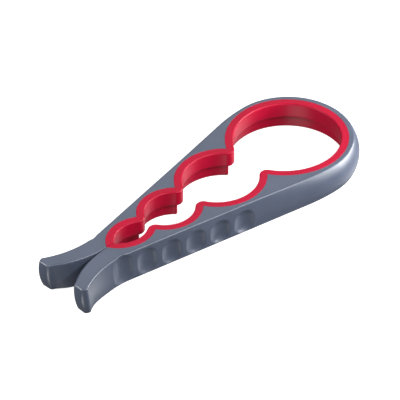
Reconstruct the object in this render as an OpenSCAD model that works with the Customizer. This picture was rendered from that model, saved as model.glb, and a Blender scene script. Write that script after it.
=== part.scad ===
// Springy multi-size jar and bottle opener.
// One plastic moulding is bent into a teardrop loop: a round bow, two arms that meet behind
// the grips, and two flared handle tips. A soft two-step liner is moulded round its inside and
// makes four pairs of grips, large at the bow and small at the handles.
// The bow bends like a spring. Here each half of it turns about a hinge in the bow's wall, so
// the moulding and its liner are cut there into a bow and two arms.

/* [Body] */
// Height of the moulding
height = 19.5; // [16:0.5:24]
// Radius of the bow's outside at its top and bottom edges
bow_r = 38.9; // [38.7:0.1:40]
// How far the bow's wall bulges at mid height
bow_bulge = 3.8; // [3:0.1:4.5]
// How far the arms' sides stand out past their top edges
arm_bulge = 0.8; // [0.5:0.1:1]
// Slope of the arms' straight sides to the long axis, in degrees
arm_slope = 11.17; // [10.9:0.01:11.4]
// Radius that runs the bow into the straight sides
shoulder_r = 114; // [100:1:125]

/* [Handles] */
// Distance from the bow's centre to the handles' narrowest point
waist_x = 155.4; // [154:0.1:157]
// Distance from the bow's centre to where the arms part
parting_x = 152; // [151:0.1:153]
// Radius of the flare, outside and inside
flare_r = 57; // [54:0.5:62]
// Distance from the bow's centre to the handle tips
tip_x = 186.1; // [184:0.1:188]
// Size of the bevel on each tip's outer corner
tip_bevel = 2.5; // [1:0.1:3]
// Slit left between the two arms where they rest on each other
slit = 0.3; // [0.2:0.05:0.5]

/* [Liner] */
// Radius of the liner's outside in the bow
liner_r = 36.8; // [36.5:0.1:37]
// Thickness of the liner's upper step
liner_t = 4.8; // [4.5:0.1:5.2]
// How much wider the openings are below the step
step_back = 3.5; // [3:0.1:3.8]
// Height of the upper step
step_h = 10.5; // [9:0.5:12]
// Depth of the rib that keys the liner into the frame
key_depth = 0.8; // [0.5:0.1:0.9]
// Height of the keying rib
key_h = 4; // [3:0.5:5]

/* [Finger dimples] */
// Number of dimples on each arm
dimple_count = 6; // [3:1:6]
// Distance from the bow's centre to the first dimple
dimple_x = 66.5; // [62:0.5:70]
// Distance between dimples along the long axis
dimple_pitch = 16.6; // [15:0.1:17]
// Width of one dimple
dimple_w = 13; // [10:0.5:14]
// Depth of one dimple
dimple_d = 1.6; // [1:0.1:2]
// Depth of the first dimple's top below the arm's top edge
dimple_drop = 5; // [4:0.5:6]
// How much higher each next dimple's top is
dimple_rise = 0.5; // [0:0.1:0.8]

/* [Hinges] */
// Direction of the hinge in the bow's wall from the bow's centre, in degrees
hinge_at = 45; // [40:1:50]
// Distance of the hinge from the bow's centre
hinge_r = 39.6; // [39.5:0.1:39.8]
// Radius of the round joint face about the hinge
knuckle_r = 3.7; // [3.7:0.05:3.9]
// Clearance between the bow and an arm
gap = 0.3; // [0.2:0.05:0.4]

/* [Hidden] */
$fn = 96;

frame_colour = "slategray";
liner_colour = "crimson";
far = 300;    // past everything
over = 5;     // how far a cutter runs past a face
sink = 0.2;   // how far one outline is sunk into the next, so that they join

// Each grip of an arm is an arc of the liner's outside: [x from the bow's centre, y past the
// long axis, radius]. The first is the flatter half of the big opening, which the bow closes.
grip_x = -1;
flatter = 4.3;
grips = [
    [grip_x, flatter, liner_r + flatter],
    [-58, 3.3, 30.1],
    [-99.8, 4.5, 22.9],
    [-131, 10.5, 22.1]
];

// The origin is under the middle of the whole length.
bow_x = (tip_x - bow_r - bow_bulge) / 2;
step_z = height - step_h;
key_z = step_z + (step_h - key_h) / 2;

// Half widths of the arms, from the long axis to the outside, at the ends of each stretch
arm_r = bow_r + arm_bulge;
shoulder_x = shoulder_r * sin(arm_slope);
shoulder_y = arm_r - shoulder_r * (1 - cos(arm_slope));
flare_x = waist_x - flare_r * sin(arm_slope);
flare_y = shoulder_y - (flare_x - shoulder_x) * tan(arm_slope);
waist_y = flare_y - flare_r * (1 - cos(arm_slope));
flare_end = asin((tip_x - tip_bevel - waist_x) / flare_r);
inside_end = asin((tip_x - parting_x) / flare_r);

// Points of an arc about c, n steps from angle a to angle b.
function arc(c, r, a, b, n) = [for (i = [0 : n]) let (t = a + (b - a) * i / n) c + r * [cos(t), sin(t)]];

// The same grip with its radius changed by t.
function grown(grip, t) = [grip[0], grip[1], grip[2] + t];

// Unit vector from circle a's centre to circle b's.
function towards(a, b) = [b[0] - a[0], b[1] - a[1]] / norm([b[0] - a[0], b[1] - a[1]]);

// Centre of the circle of radius r that touches circles a and b on the arm's side.
function touching(a, b, r) =
    let (ra = a[2] + r, rb = b[2] + r, u = towards(a, b), d = norm([b[0] - a[0], b[1] - a[1]]))
    let (l = (ra * ra - rb * rb + d * d) / (2 * d), h = sqrt(ra * ra - l * l))
    [a[0] + u[0] * l - u[1] * h, a[1] + u[1] * l + u[0] * h];

// A point of circle a, sunk a little, on the way to c.
function facing(a, c) = [a[0], a[1]] + towards(a, c) * (a[2] - sink);

// The middle of the overlap of circles a and b.
function overlap(a, b) =
    let (u = towards(a, b), d = norm([b[0] - a[0], b[1] - a[1]]))
    [a[0], a[1]] + u * (a[2] + d - b[2]) / 2;

// The direction of v, in degrees.
function angle_of(v) = atan2(v[1], v[0]);

// Radius of a ball that cuts a dimple of that width and depth
scoop_r = (dimple_w * dimple_w / 4 + dimple_d * dimple_d) / (2 * dimple_d);

// Radii of the liner's nibs above and below the step
nib_r = liner_t;
low_nib_r = nib_r - step_back;

// The right arm's grips with sharp cusps between them, t larger than the liner's outside.
module grip_outline(t) {
    centre = [grips[0][0], grips[0][1]];
    bow_outline(t);
    polygon(concat(
        [centre, [grip_x, sink - liner_r - t]],
        arc(centre, grips[0][2] + t, -96, -180, 24)
    ));
    for (i = [1 : len(grips) - 1])
        translate([grips[i][0], grips[i][1]]) circle(grips[i][2] + t);
}

// The bow's half of the big opening, t larger than the liner's outside.
module bow_outline(t) {
    translate([grip_x, 0]) circle(liner_r + t);
}

// What rounds each cusp of the right arm's grips to a nib of radius r.
module nib_cuts(t, r) {
    for (i = [0 : len(grips) - 2]) {
        a = grown(grips[i], t);
        b = grown(grips[i + 1], t);
        c = touching(a, b, r);
        tip = arc(c, r, angle_of([a[0], a[1]] - c), angle_of([b[0], b[1]] - c), 12);
        polygon(concat(
            [overlap(a, b), facing(a, c)], [for (k = [1 : len(tip) - 2]) tip[k]], [facing(b, c)]
        ));
    }
}

// Upper and lower openings of the right arm.
module upper_opening() {
    grip_outline(-liner_t);
    nib_cuts(-liner_t, nib_r);
}
module lower_opening() {
    grip_outline(step_back - liner_t);
    nib_cuts(step_back - liner_t, low_nib_r);
}

// Outline of the right arm and handle from above.
module arm_outline() {
    bevel_y = -waist_y - flare_r * (1 - cos(flare_end));
    polygon(concat(
        [[over, -slit / 2], [over, 2 - arm_r]],
        arc([0, shoulder_r - arm_r], shoulder_r, -90, -90 - arm_slope, 5),
        arc([-waist_x, -waist_y - flare_r], flare_r, 90 - arm_slope, 90 + flare_end, 12),
        [[-tip_x, bevel_y + tip_bevel]],
        arc([-parting_x, -slit / 2 - flare_r], flare_r, 90 + inside_end, 90, 10)
    ));
}

// Zones of the two bodies from above. The bow ends in a round knuckle about each hinge.
module hinge_discs(r) {
    for (side = [-1, 1])
        translate(hinge_r * [cos(hinge_at), side * sin(hinge_at)]) circle(r);
}
module bow_zone() {
    start = [gap / sin(hinge_at), 0];
    polygon([
        start, start + far * [cos(hinge_at), -sin(hinge_at)],
        start + far * [cos(hinge_at), sin(hinge_at)]
    ]);
}
module arm_zone() {
    difference() {
        polygon([
            [0, -slit / 2], far * [cos(hinge_at), -sin(hinge_at)],
            [-far, -far], [-far, -slit / 2]
        ]);
        hinge_discs(knuckle_r + gap);
    }
}

// A prism of the outlines below it, past both faces.
module through() {
    translate([0, 0, -over]) linear_extrude(height + 2 * over) children();
}

// The keying rib on a liner outline, kept clear of the hinges.
module key_rib() {
    translate([0, 0, key_z]) linear_extrude(key_h) difference() {
        children();
        hinge_discs(knuckle_r + 2);
    }
}

// Side of the bow's wall: [distance from the bow's centre, height].
function wall_side() = [
    for (i = [0 : 8])
        let (t = (1 - cos(180 * i / 8)) / 2)
        [bow_r + bow_bulge * pow(sin(180 * t), 0.75), height * t]
];

module bow_wall() {
    inner = liner_r - 2 * liner_t;
    rotate([0, 0, -90]) rotate_extrude(angle = 180)
        polygon(concat([[inner, 0]], wall_side(), [[inner, height]]));
}

// Thin slice across the arm, where x is its place, that runs the bow's bulge into the side.
module side_slice(x, points) {
    translate([-x, 0, 0]) rotate([90, 0, -90]) linear_extrude(sink) polygon(points);
}
module shoulder() {
    end_x = 2 * shoulder_x;
    end_y = shoulder_y - shoulder_x * tan(arm_slope);
    hull() {
        side_slice(-sink, concat([[liner_r, 0]], wall_side(), [[liner_r, height]]));
        side_slice(end_x, [[end_y - 2, 0], [end_y, 0], [end_y, height], [end_y - 2, height]]);
    }
}

// Finger dimples, each a shallow cut of a ball.
module dimples() {
    for (i = [0 : dimple_count - 1]) {
        x = dimple_x + i * dimple_pitch;
        top = height - dimple_drop + i * dimple_rise;
        wall = [-x, (x - shoulder_x) * tan(arm_slope) - shoulder_y];
        centre = wall - (scoop_r - dimple_d) * [sin(arm_slope), cos(arm_slope)];
        translate([centre[0], centre[1], top - dimple_w / 2]) sphere(scoop_r);
    }
}

module frame_right_arm() {
    color(frame_colour) intersection() {
        difference() {
            union() {
                bow_wall();
                shoulder();
                linear_extrude(height) arm_outline();
            }
            through() grip_outline(0);
            key_rib() grip_outline(key_depth);
            dimples();
        }
        through() arm_zone();
    }
}

module frame_left_arm() {
    mirror([0, 1, 0]) frame_right_arm();
}

module frame_bow() {
    color(frame_colour) intersection() {
        difference() {
            bow_wall();
            through() bow_outline(0);
            key_rib() bow_outline(key_depth);
        }
        through() {
            bow_zone();
            hinge_discs(knuckle_r);
        }
    }
}

module liner_right_arm() {
    color(liner_colour) intersection() {
        difference() {
            union() {
                linear_extrude(height) grip_outline(0);
                key_rib() grip_outline(key_depth);
            }
            through() upper_opening();
            translate([0, 0, -over]) linear_extrude(step_z + over) lower_opening();
        }
        through() arm_zone();
    }
}

module liner_left_arm() {
    mirror([0, 1, 0]) liner_right_arm();
}

module liner_bow() {
    color(liner_colour) intersection() {
        difference() {
            union() {
                linear_extrude(height) bow_outline(0);
                key_rib() bow_outline(key_depth);
            }
            through() bow_outline(-liner_t);
            translate([0, 0, -over]) linear_extrude(step_z + over)
                bow_outline(step_back - liner_t);
        }
        through() bow_zone();
    }
}

// Each node stands in the part's own frame.
module placed() {
    translate([bow_x, 0, 0]) children();
}

placed() frame_bow();
placed() frame_right_arm();
placed() frame_left_arm();
placed() liner_bow();
placed() liner_right_arm();
placed() liner_left_arm();
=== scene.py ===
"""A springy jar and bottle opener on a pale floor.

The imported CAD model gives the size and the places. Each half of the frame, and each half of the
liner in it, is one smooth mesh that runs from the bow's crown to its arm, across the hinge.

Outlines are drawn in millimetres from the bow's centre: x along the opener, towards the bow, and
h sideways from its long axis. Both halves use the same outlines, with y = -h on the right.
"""

import math

import bmesh
import bpy
import numpy as np
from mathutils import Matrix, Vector


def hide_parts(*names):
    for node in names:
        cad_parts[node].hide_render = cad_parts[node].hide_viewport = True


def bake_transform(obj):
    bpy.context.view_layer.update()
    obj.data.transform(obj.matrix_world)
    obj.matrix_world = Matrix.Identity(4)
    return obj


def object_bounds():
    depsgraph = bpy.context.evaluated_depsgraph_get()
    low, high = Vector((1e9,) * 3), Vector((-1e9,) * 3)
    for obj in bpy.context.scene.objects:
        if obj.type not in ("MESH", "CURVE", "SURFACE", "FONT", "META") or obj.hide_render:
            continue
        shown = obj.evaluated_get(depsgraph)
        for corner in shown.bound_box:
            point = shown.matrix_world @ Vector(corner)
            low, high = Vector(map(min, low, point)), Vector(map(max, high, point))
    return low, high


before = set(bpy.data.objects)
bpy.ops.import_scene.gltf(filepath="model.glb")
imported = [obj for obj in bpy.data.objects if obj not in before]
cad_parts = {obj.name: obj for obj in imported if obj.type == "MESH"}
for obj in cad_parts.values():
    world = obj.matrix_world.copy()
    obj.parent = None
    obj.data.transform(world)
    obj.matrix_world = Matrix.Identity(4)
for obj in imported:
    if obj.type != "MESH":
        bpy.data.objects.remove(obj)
cad_low, cad_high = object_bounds()

MM = 0.001
HEIGHT = (cad_high.z - cad_low.z) / MM

# Frame, as the CAD model has it
BOW_R = 38.9
BOW_BULGE = 3.8
ARM_SLOPE = math.radians(11.17)
SHOULDER_R = 114.0
WAIST_X = 155.4
PARTING_X = 152.0
FLARE_R = 57.0
HALF_SLIT = 0.15
BOW_X = cad_high.x / MM - BOW_R - BOW_BULGE
TIP_X = BOW_X - cad_low.x / MM

# Liner: centre and radius of each grip's arc on the liner's outside
GRIP_X = -1.0
LINER_R = 36.8
FLATTER = 4.3
GRIPS = [
    (GRIP_X, -FLATTER, LINER_R + FLATTER),
    (-58.0, -3.3, 30.1),
    (-99.8, -4.5, 22.9),
    (-131.0, -10.5, 22.1),
]
LINER_T = 4.8
STEP_BACK = 3.5
STEP_Z = HEIGHT - 10.5

# How finely the meshes are cut, in millimetres along an outline and in rows up a wall
LINER_STEP = 0.7
FRAME_STEP = 0.5
HANDLE_STEP = 0.45
WALL_ROWS = 36
EDGE_ROWS = 6

# Shape that the CAD model leaves out: swell, lean and small edges
ARM_BULGE = 0.7
END_BULGE = 1.1
ARM_LEAN = 1.5
ARM_OVER = 0.2
TIP_BEVEL = (2.2, 1.5)
TIP_OVER = 0.5
TIP_SET_BACK = 2.3
TIP_ROUND = 1.35
TIP_LEAN = (14, 1)
TIP_TAIL = 7
CROWN_HAIR = 0.02

# Finger dimples, each cut by an upright barrel with rounded ends
DIMPLES = 6
DIMPLE_X = 67.0
DIMPLE_PITCH = 16.6
DIMPLE_R = 11.0
DIMPLE_D = 2.4
DIMPLE_SHALLOWER = 0.05
DIMPLE_FOOT = 0.2
DIMPLE_TOP = 4.0
DIMPLE_RISE = 4.4
DIMPLE_SOFT = 0.1
DIMPLE_POWER = 3.0


# ---------------------------------------------------------------- outlines


def unit(angle):
    """Unit vectors at the given angles."""
    return np.stack([np.cos(angle), np.sin(angle)], -1)


def smooth_step(a, b, x):
    """0 before a, 1 after b, and smooth between them. a may be more than b."""
    t = np.clip((np.asarray(x, float) - a) / (b - a), 0, 1)
    return t * t * (3 - 2 * t)


def arc_points(centre, radius, start, end, step):
    """Points of an arc about step apart."""
    n = max(2, int(abs(end - start) * radius / step) + 1)
    return np.array(centre) + radius * unit(np.linspace(start, end, n))


def cusp(a, b):
    """Where the circles of grips a and b cross beside the long axis."""
    ca, cb = np.array(a[:2]), np.array(b[:2])
    gap = np.linalg.norm(cb - ca)
    along = (a[2] ** 2 - b[2] ** 2 + gap**2) / (2 * gap)
    u = (cb - ca) / gap
    return ca + u * along + np.array([u[1], -u[0]]) * math.sqrt(a[2] ** 2 - along**2)


def angle_to(centre, point):
    """The direction of point from centre."""
    return math.atan2(point[1] - centre[1], point[0] - centre[0])


def liner_stations(step):
    """The liner's course from the bow's crown to the slit.

    Each station is a function of t, the distance from the liner's outside towards the opening.
    """

    def on_arc(centre, radius, angle):
        return lambda t: np.array(centre) + (radius - t)[:, None] * unit(np.full_like(t, angle))

    def round_cusp(point, angle):
        return lambda t: point + t[:, None] * unit(np.full_like(t, angle))

    def last_arc(centre, radius, start, part):
        def at(t):
            end = math.pi - np.arcsin((HALF_SLIT - centre[1]) / (radius - t))
            return np.array(centre) + (radius - t)[:, None] * unit(start + (end - start) * part)

        return at

    made = []
    n = int(math.pi / 2 * LINER_R / step)
    made += [on_arc((GRIP_X, 0), LINER_R, a) for a in np.linspace(0, math.pi / 2, n)]
    start = math.pi / 2
    for a, b in zip(GRIPS, GRIPS[1:]):
        c = cusp(a, b)
        end = angle_to(a, c)
        n = int((end - start) * a[2] / step)
        made += [on_arc(a[:2], a[2], angle) for angle in np.linspace(start, end, n + 1)[1:]]
        start = angle_to(b, c)
        turn = np.linspace(end + math.pi, start + math.pi, 17)
        made += [round_cusp(c, angle) for angle in turn[1:]]
    last = GRIPS[-1]
    n = int((math.pi - start) * last[2] / step)
    made += [last_arc(last[:2], last[2], start, part) for part in np.linspace(0, 1, n + 1)[1:]]
    return made


def rounded(points, radii, step=0.15):
    """A line through the points with its inner corners rounded to the radii."""
    points = [np.array(p, float) for p in points]
    out = [points[0]]
    for before, corner, after, r in zip(points, points[1:], points[2:], radii):
        u = (before - corner) / np.linalg.norm(before - corner)
        v = (after - corner) / np.linalg.norm(after - corner)
        half = math.acos(np.clip(u @ v, -1, 1)) / 2
        reach = r / math.tan(half)
        middle = corner + (u + v) / np.linalg.norm(u + v) * r / math.sin(half)
        a = angle_to(middle, corner + u * reach)
        b = angle_to(middle, corner + v * reach)
        b += round((a - b) / (2 * math.pi)) * 2 * math.pi
        out += list(arc_points(middle, r, a, b, step))
    return out + [points[-1]]


class Course:
    """A line that can be read at any distance along it, with the normal on one side."""

    def __init__(self, points, side):
        points = np.array(points)
        keep = np.r_[True, np.linalg.norm(np.diff(points, axis=0), axis=1) > 1e-6]
        self.points = points[keep]
        steps = np.diff(self.points, axis=0)
        lengths = np.linalg.norm(steps, axis=1)
        self.at = np.r_[0, np.cumsum(lengths)]
        tangents = steps / lengths[:, None]
        tangents = np.concatenate([tangents[:1], tangents[:-1] + tangents[1:], tangents[-1:]])
        tangents /= np.linalg.norm(tangents, axis=1)[:, None]
        self.normals = side * np.stack([-tangents[:, 1], tangents[:, 0]], -1)

    def point(self, where):
        return np.stack([np.interp(where, self.at, self.points[:, k]) for k in (0, 1)], -1)

    def normal(self, where):
        n = np.stack([np.interp(where, self.at, self.normals[:, k]) for k in (0, 1)], -1)
        return n / np.linalg.norm(n, axis=-1)[..., None]

    def at_x(self, x):
        """Distance along where x is reached, on a line that runs towards -x."""
        return np.interp(-np.asarray(x), -self.points[:, 0], self.at)

    @property
    def length(self):
        return self.at[-1]


SHOULDER_X = SHOULDER_R * math.sin(ARM_SLOPE)
SHOULDER_H = BOW_R - SHOULDER_R * (1 - math.cos(ARM_SLOPE)) + ARM_OVER
FLARE_X = WAIST_X - FLARE_R * math.sin(ARM_SLOPE)
FLARE_H = SHOULDER_H - (FLARE_X - SHOULDER_X) * math.tan(ARM_SLOPE)
WAIST_H = FLARE_H - FLARE_R * (1 - math.cos(ARM_SLOPE))


def tip_corners():
    """The tip's end seen from above: outer corner, bevel corner and inner corner."""
    along, across = TIP_BEVEL
    turn = math.asin((TIP_X - along - WAIST_X) / FLARE_R)
    outer = WAIST_H + FLARE_R * (1 - math.cos(turn))
    turn_in = math.asin((TIP_X - PARTING_X) / FLARE_R)
    inner = HALF_SLIT + FLARE_R * (1 - math.cos(turn_in)) - 0.4
    return (
        turn,
        (-TIP_X + along, outer),
        (-TIP_X - TIP_OVER, outer - across),
        (-TIP_X - TIP_OVER / 2, inner),
        turn_in,
    )


def outer_course():
    """The frame's outside edge, from the crown of the bow to the middle of the tip's end."""
    turn, outer, bevel, inner, _ = tip_corners()
    middle = (np.array(bevel) + np.array(inner)) / 2
    half = math.pi / 2
    points = list(arc_points((0, 0), BOW_R, 0, half, 0.4))
    points += list(
        arc_points((0, BOW_R - SHOULDER_R), SHOULDER_R, half, half + ARM_SLOPE, 0.5)
    )
    waist = (-WAIST_X, WAIST_H + FLARE_R)
    flare = arc_points(waist, FLARE_R, ARM_SLOPE - half, -turn - half, 0.5)
    points += list(flare[:-3])
    points += rounded([flare[-3], outer, bevel, middle], [TIP_ROUND, TIP_ROUND])
    return Course(points, -1)


def handle_course():
    """The handle's inside edge, from the slit to the middle of the tip's end."""
    _, _, bevel, inner, turn_in = tip_corners()
    middle = (np.array(bevel) + np.array(inner)) / 2
    half = math.pi / 2
    parting = (-PARTING_X, HALF_SLIT + FLARE_R)
    flare = arc_points(parting, FLARE_R, -half, -half - turn_in, 0.5)
    points = list(flare[:-6]) + rounded([flare[-6], inner, middle], [2.0])
    return Course(points, 1)


# ---------------------------------------------------------------- meshes


def quad_tube(loops, name, side, close_end):
    """A closed mesh through loops of points, capped at its first loop and, if asked, its last."""
    # The first loop is doubled a hair away, so that the two halves are shaded as one at the crown
    loops = np.insert(np.array(loops), 0, loops[0], axis=0)
    loops[0, :, 1] = 0
    loops[1, :, 1] = CROWN_HAIR
    count, size = loops.shape[:2]
    points = loops.reshape(-1, 3) * [1, side, 1]
    points = (points + [BOW_X, 0, 0]) * MM
    mesh = bpy.data.meshes.new(name)
    bm = bmesh.new()
    verts = [bm.verts.new(p) for p in points]
    for i in range(count - 1):
        for j in range(size):
            k = (j + 1) % size
            ring = [i * size + j, i * size + k, (i + 1) * size + k, (i + 1) * size + j]
            bm.faces.new([verts[r] for r in ring])
    bm.faces.new(verts[:size])
    if close_end:
        bm.faces.new(verts[-size:])
    bmesh.ops.remove_doubles(bm, verts=bm.verts, dist=1e-7)
    bmesh.ops.dissolve_degenerate(bm, edges=bm.edges, dist=1e-7)
    bmesh.ops.recalc_face_normals(bm, faces=bm.faces)
    for face in bm.faces:
        face.smooth = True
    for edge in bm.edges:
        edge.smooth = len(edge.link_faces) == 2 and edge.calc_face_angle() < math.radians(50)
    bm.to_mesh(mesh)
    bm.free()
    piece = bpy.data.objects.new(name, mesh)
    bpy.context.collection.objects.link(piece)
    return piece


def edge_arc(t, z, r, start, end, n=5):
    """Points of a rounded corner of a cross-section about (t, z), in degrees."""
    turns = np.radians(np.linspace(start, end, n))
    return [(t + r * math.cos(a), z + r * math.sin(a)) for a in turns]


def liner_section():
    """The liner's cross-section as (t, z), anticlockwise from its outer bottom edge."""
    low_t = LINER_T - STEP_BACK
    seam, foot, lip, crown, root = 0.15, 0.4, 1.3, 0.8, 0.25
    section = [(seam, 0), (low_t - foot, 0)]
    section += edge_arc(low_t - foot, foot, foot, -90, 0)[1:]
    section += [(low_t, z) for z in np.linspace(foot, STEP_Z - root, 5)[1:-1]]
    section += edge_arc(low_t + root, STEP_Z - root, root, 180, 90, 4)
    section += [(LINER_T - lip - 0.1, STEP_Z)]
    section += edge_arc(LINER_T - lip, STEP_Z + lip, lip, -90, 0, 7)
    section += [(LINER_T, z) for z in np.linspace(STEP_Z + lip, HEIGHT - crown, 6)[1:-1]]
    section += edge_arc(LINER_T - crown, HEIGHT - crown, crown, 0, 90, 6)
    section += [(LINER_T - crown - 0.1, HEIGHT), (LINER_T / 2, HEIGHT), (seam + 0.1, HEIGHT)]
    section += [(seam, HEIGHT), (0, HEIGHT - seam), (0, seam)]
    return np.array(section)


def liner_half(name, side):
    """Half of the liner, from the bow's crown to the slit."""
    section = liner_section()
    loops = []
    for station in liner_stations(LINER_STEP):
        plan = station(section[:, 0])
        loops.append(np.column_stack([plan, section[:, 1]]))
    return quad_tube(loops, name, side, True)


def wall_rows(bulge, lean, top_r, foot_r):
    """A wall's rows as (offset outwards, height) from top to bottom."""
    turns = np.radians(np.linspace(0, 90, EDGE_ROWS))
    depth = np.concatenate([
        top_r * (1 - np.cos(turns)),
        np.linspace(top_r, HEIGHT - foot_r, WALL_ROWS + 2)[1:-1],
        HEIGHT - foot_r * (1 - np.cos(turns[::-1])),
    ])
    inset = np.zeros_like(depth)
    inset[:EDGE_ROWS] = top_r * (1 - np.sin(turns))
    inset[-EDGE_ROWS:] = foot_r * (1 - np.sin(turns[::-1]))
    swell = bulge * np.sin(math.pi * depth / HEIGHT) ** 0.75 + lean * depth / HEIGHT
    return swell - inset, HEIGHT - depth


def dimple_barrels(outer):
    """The barrels that cut the finger dimples, as (x, h, middle height, half height)."""
    barrels = []
    for i in range(DIMPLES):
        at = outer.at_x(-DIMPLE_X - i * DIMPLE_PITCH)
        deep = DIMPLE_D - i * DIMPLE_SHALLOWER
        plan = outer.point(at) + (DIMPLE_R - deep) * outer.normal(at)
        top = HEIGHT - DIMPLE_TOP + DIMPLE_RISE * (i / (DIMPLES - 1)) ** 3
        # The barrel reaches further than the dimple, whose end is where it leaves the wall
        share = (1 - (1 - deep / DIMPLE_R) ** 2) ** (1 / DIMPLE_POWER)
        barrels.append((*plan, (top + DIMPLE_FOOT) / 2, (top - DIMPLE_FOOT) / 2 / share))
    return barrels


def dimple_depth(barrels, point, normal, z):
    """How deep the dimples are at the heights z over a point of the outside edge."""
    depth = np.zeros_like(z)
    for x, h, middle, half in barrels:
        away = point - [x, h]
        out = away @ normal
        radius = DIMPLE_R**2 * (1 - np.abs((z - middle) / half) ** DIMPLE_POWER)
        square = out**2 - away @ away + radius
        reach = np.sqrt(np.clip(square, 0, None))
        push = np.where((square > 0) & (out < reach), out + reach, -1.0)
        push = (push + np.sqrt(push * push + DIMPLE_SOFT**2)) / 2 - DIMPLE_SOFT**2 / 4
        depth = np.maximum(depth, push)
    return depth


def bow_share(x):
    """1 in the bow, 0 along the arm, for what changes between them."""
    return float(smooth_step(-70, -5, x))


def end_share(x):
    """0 along the arm, 1 at the tip's end."""
    return float(smooth_step(-TIP_X + 25, -TIP_X + 2, x))


def outer_wall(x):
    """The outside wall's rows where it stands at x."""
    share, end = bow_share(x), end_share(x)
    bulge = ARM_BULGE + (BOW_BULGE - ARM_LEAN / 2 - ARM_BULGE) * share
    bulge += (END_BULGE - ARM_BULGE) * end
    return wall_rows(bulge, ARM_LEAN * (1 - end), 0.8 - 0.1 * share, 0.4 + 0.7 * share + 0.7 * end)


def inner_wall(x, free, meets):
    """The inside wall's rows. free is 0 against the liner and 1 on the handle, and meets is 1
    where the inside meets the outside in the middle of the tip's end."""
    edge = 0.15 + 0.85 * free
    own = wall_rows(0, 0, edge, edge)
    other = outer_wall(x)
    return [a + (b - a) * meets for a, b in zip(own, other)]


def frame_half(name, side):
    """Half of the frame, from the bow's crown to its handle tip."""
    outer = outer_course()
    handle = handle_course()
    barrels = dimple_barrels(outer)
    zero = np.zeros(1)
    inner, normals = [], []
    for station in liner_stations(FRAME_STEP):
        p, q = station(zero)[0], station(zero + 1)[0]
        if inner and np.linalg.norm(p - inner[-1]) < 1e-3:
            continue
        inner.append(p)
        normals.append(q - p)
    bow_count = sum(p[0] > GRIP_X + 1e-6 for p in inner)
    end = np.array([-PARTING_X, HALF_SLIT])
    for part in np.linspace(0, 1, 5)[1:-1]:
        inner.append(inner[-1] + (end - inner[-1]) * part)
        normals.append(np.array([0, -1.0]))
    covered = len(inner)
    where = np.append(np.arange(0, handle.length, HANDLE_STEP), handle.length)
    inner += list(handle.point(where))
    normals += list(handle.normal(where))
    inner, normals = np.array(inner), np.array(normals)
    normals /= np.linalg.norm(normals, axis=1)[:, None]

    # What stands opposite each inner point on the outside
    turn = np.arctan2(inner[:, 1], inner[:, 0] - GRIP_X)
    opposite = BOW_R * turn
    arm = np.arange(len(inner)) >= bow_count
    x = inner[arm, 0]
    opposite[arm] = outer.at_x(x - GRIP_X * np.clip(1 + x / 20, 0, 1))
    tail = int(np.argmax(inner[:, 0] < -TIP_X + TIP_TAIL))
    gone = np.linalg.norm(np.diff(inner[tail:], axis=0), axis=1).cumsum()
    gone /= gone[-1]
    opposite[tail + 1:] = opposite[tail] + (outer.length - opposite[tail]) * gone
    meets = np.zeros(len(inner))
    meets[tail + 1:] = smooth_step(0.3, 1, gone)

    between = np.array([0.02, 0.25, 0.5, 0.75, 0.98])[:, None]
    loops = []
    for i in range(len(inner)):
        o = outer.point(opposite[i])
        n = outer.normal(opposite[i])
        out, z = outer_wall(o[0])
        out = out - dimple_depth(barrels, o, n, z)
        wall = np.column_stack([o + out[:, None] * n, z])
        free = float(smooth_step(covered - 6, covered + 10, i))
        out, z = inner_wall(o[0], free, meets[i])
        inside = np.column_stack([inner[i] + out[:, None] * normals[i], z])[::-1]
        bottom = wall[-1] + (inside[0] - wall[-1]) * between
        top = inside[-1] + (wall[0] - inside[-1]) * between
        loops.append(np.concatenate([wall, bottom, inside, top]))
    loops = np.array(loops)

    # The tip's end leans back towards its foot
    start, end = TIP_LEAN
    near_tip = smooth_step(-TIP_X + start, -TIP_X + end, loops[:, :, 0])
    loops[:, :, 0] += TIP_SET_BACK * near_tip * (1 - loops[:, :, 2] / HEIGHT) ** 2
    return quad_tube(loops, name, side, False)


# ---------------------------------------------------------------- materials


def new_material(name):
    material = bpy.data.materials.new(name)
    material.use_nodes = True
    nodes = material.node_tree.nodes
    return material, nodes, material.node_tree.links, nodes["Principled BSDF"]


def noise(nodes, links, scale, detail):
    """A noise texture fixed to the object, in metres."""
    place = nodes.new("ShaderNodeTexCoord")
    texture = nodes.new("ShaderNodeTexNoise")
    texture.inputs["Scale"].default_value = scale
    texture.inputs["Detail"].default_value = detail
    links.new(place.outputs["Object"], texture.inputs["Vector"])
    return texture


def ramp(nodes, links, source, low, high):
    """A colour ramp from low to high over the middle of a noise's range."""
    node = nodes.new("ShaderNodeValToRGB")
    node.color_ramp.elements[0].position = 0.35
    node.color_ramp.elements[1].position = 0.65
    node.color_ramp.elements[0].color = (*low, 1)
    node.color_ramp.elements[1].color = (*high, 1)
    links.new(source, node.inputs["Fac"])
    return node


def spread(nodes, links, source, low, high):
    """Source, from 0 to 1, mapped to low to high."""
    node = nodes.new("ShaderNodeMapRange")
    node.inputs["To Min"].default_value = low
    node.inputs["To Max"].default_value = high
    links.new(source, node.inputs["Value"])
    return node


def bump(nodes, links, height, distance, strength, shader):
    """A bump on the shader, with its distance in metres."""
    node = nodes.new("ShaderNodeBump")
    node.inputs["Distance"].default_value = distance
    node.inputs["Strength"].default_value = strength
    links.new(height, node.inputs["Height"])
    links.new(node.outputs["Normal"], shader.inputs["Normal"])


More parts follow.
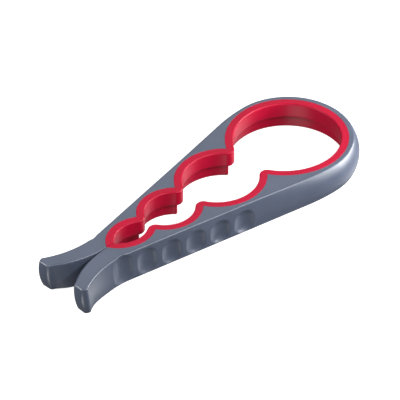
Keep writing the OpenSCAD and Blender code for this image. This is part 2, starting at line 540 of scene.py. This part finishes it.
def frame_plastic():
    """Slate-grey moulded plastic with a fine spark-eroded grain."""
    material, nodes, links, shader = new_material("frame_plastic")
    cloud = noise(nodes, links, 60, 4)
    grain = noise(nodes, links, 2600, 2)
    colour = ramp(nodes, links, cloud.outputs["Fac"], (0.051, 0.063, 0.094), (0.060, 0.073, 0.107))
    links.new(colour.outputs["Color"], shader.inputs["Base Color"])
    rough = spread(nodes, links, cloud.outputs["Fac"], 0.30, 0.38)
    links.new(rough.outputs["Result"], shader.inputs["Roughness"])
    shader.inputs["Specular IOR Level"].default_value = 0.6
    bump(nodes, links, grain.outputs["Fac"], 0.00004, 0.35, shader)
    return material


def liner_rubber():
    """Soft red elastomer, satin, with a faint mould texture."""
    material, nodes, links, shader = new_material("liner_rubber")
    cloud = noise(nodes, links, 45, 3)
    grain = noise(nodes, links, 1800, 3)
    colour = ramp(nodes, links, cloud.outputs["Fac"], (0.29, 0.001, 0.018), (0.33, 0.001, 0.022))
    links.new(colour.outputs["Color"], shader.inputs["Base Color"])
    rough = spread(nodes, links, cloud.outputs["Fac"], 0.34, 0.46)
    links.new(rough.outputs["Result"], shader.inputs["Roughness"])
    shader.inputs["Specular IOR Level"].default_value = 0.22
    bump(nodes, links, grain.outputs["Fac"], 0.00005, 0.3, shader)
    return material


def floor_paint():
    """A pale light table: it glows, so that shadows on it stay faint."""
    material, nodes, links, shader = new_material("floor")
    cloud = noise(nodes, links, 3, 2)
    colour = ramp(nodes, links, cloud.outputs["Fac"], (0.45, 0.45, 0.45), (0.47, 0.47, 0.47))
    links.new(colour.outputs["Color"], shader.inputs["Base Color"])
    shader.inputs["Roughness"].default_value = 0.9
    shader.inputs["Specular IOR Level"].default_value = 0.1
    shader.inputs["Emission Color"].default_value = (1, 1, 1, 1)
    shader.inputs["Emission Strength"].default_value = 0.85
    return material


# ---------------------------------------------------------------- the opener

MATERIALS = {"frame": frame_plastic(), "liner": liner_rubber()}
MAKERS = {"frame": frame_half, "liner": liner_half}

for side_name, side in (("right", -1), ("left", 1)):
    for kind, make in MAKERS.items():
        piece = make(f"{kind}_{side_name}", side)
        piece.data.materials.append(MATERIALS[kind])
        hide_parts(f"{kind}_bow", f"{kind}_{side_name}_arm")
        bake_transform(piece)


# ---------------------------------------------------------------- stage, light and camera

FLOOR_GAP = 0.0002
WORLD_STRENGTH = 0.16

CAMERA_AZIMUTH = math.radians(-44.43)
CAMERA_ELEVATION = math.radians(38.85)
CAMERA_DISTANCE = 1.9
CAMERA_LENS = 291.6
CAMERA_SHIFT = (-0.5 / 400, 1.2 / 400)
CAMERA_TARGET = Vector((BOW_X * MM - 0.0823, -0.0078, cad_high.z))

LIGHT_AIM = (0, 0, 0.01)


def add_floor():
    """A light table under the opener, which doesn't stop or mirror the light."""
    bpy.ops.mesh.primitive_plane_add(size=12, location=(0, 0, cad_low.z - FLOOR_GAP))
    floor = bpy.context.object
    floor.name = "floor"
    floor.data.materials.append(floor_paint())
    floor.visible_diffuse = False
    floor.visible_glossy = False
    floor.visible_shadow = False


def add_light(name, place, target, size, power):
    """A softbox at place, in metres, turned to target."""
    light = bpy.data.lights.new(name, "AREA")
    light.shape = "RECTANGLE"
    light.size, light.size_y = size
    light.energy = power
    lamp = bpy.data.objects.new(name, light)
    lamp.location = place
    aim = Vector(target) - Vector(place)
    lamp.rotation_euler = aim.to_track_quat("-Z", "Y").to_euler()
    bpy.context.collection.objects.link(lamp)


def add_camera():
    """A long lens, from the handles' end and the right arm's side."""
    back = Vector((
        math.sin(CAMERA_AZIMUTH) * math.cos(CAMERA_ELEVATION),
        -math.cos(CAMERA_AZIMUTH) * math.cos(CAMERA_ELEVATION),
        math.sin(CAMERA_ELEVATION),
    ))
    data = bpy.data.cameras.new("camera")
    data.lens = CAMERA_LENS
    data.sensor_width = 36
    data.shift_x, data.shift_y = CAMERA_SHIFT
    data.clip_end = 20
    camera = bpy.data.objects.new("camera", data)
    camera.location = CAMERA_TARGET + back * CAMERA_DISTANCE
    camera.rotation_mode = "QUATERNION"
    camera.rotation_quaternion = (-back).to_track_quat("-Z", "Y")
    bpy.context.collection.objects.link(camera)
    bpy.context.scene.camera = camera


def add_world():
    """An even, dim white studio."""
    world = bpy.data.worlds.new("studio")
    world.use_nodes = True
    background = world.node_tree.nodes["Background"]
    background.inputs["Strength"].default_value = WORLD_STRENGTH
    background.inputs["Color"].default_value = (1, 1, 1, 1)
    bpy.context.scene.world = world


def light_from(name, towards, distance, size, radiance):
    """A softbox in a direction from the opener, as bright as radiance."""
    place = Vector(towards).normalized() * distance
    add_light(name, place, LIGHT_AIM, size, radiance * math.pi * size[0] * size[1])


add_floor()
add_world()

# Two stand below the table and shine through it, because the upright walls mirror what is there
add_light("back", (-0.36, 0.22, 0.33), (-0.05, 0, 0.02), (0.3, 0.3), 2.9)
light_from("front", (0.19, -0.72, 0.67), 1.0, (0.5, 0.5), 2.6)
light_from("lens_side", (-0.52, -0.53, 0.67), 1.0, (0.5, 0.5), 2.4)
light_from("mirror", (0.52, 0.53, 0.67), 1.0, (0.5, 0.5), 1.0)
light_from("table_left", (-0.70, -0.33, -0.63), 1.0, (0.6, 0.3), 5.0)
light_from("table_right", (0.78, -0.21, -0.59), 1.0, (0.8, 0.3), 1.4)
light_from("edge", (0.135, -0.69, 0.71), 1.2, (0.75, 0.03), 140)
add_light("bow", (0.26, -0.13, 0.08), (0.08, -0.03, 0.01), (0.2, 0.14), 1.5)
add_light("wall", (0.22, -0.28, 0.10), (0.05, -0.03, 0.01), (0.2, 0.14), 0.6)
add_camera()
bpy.context.scene.view_settings.view_transform = "Standard"
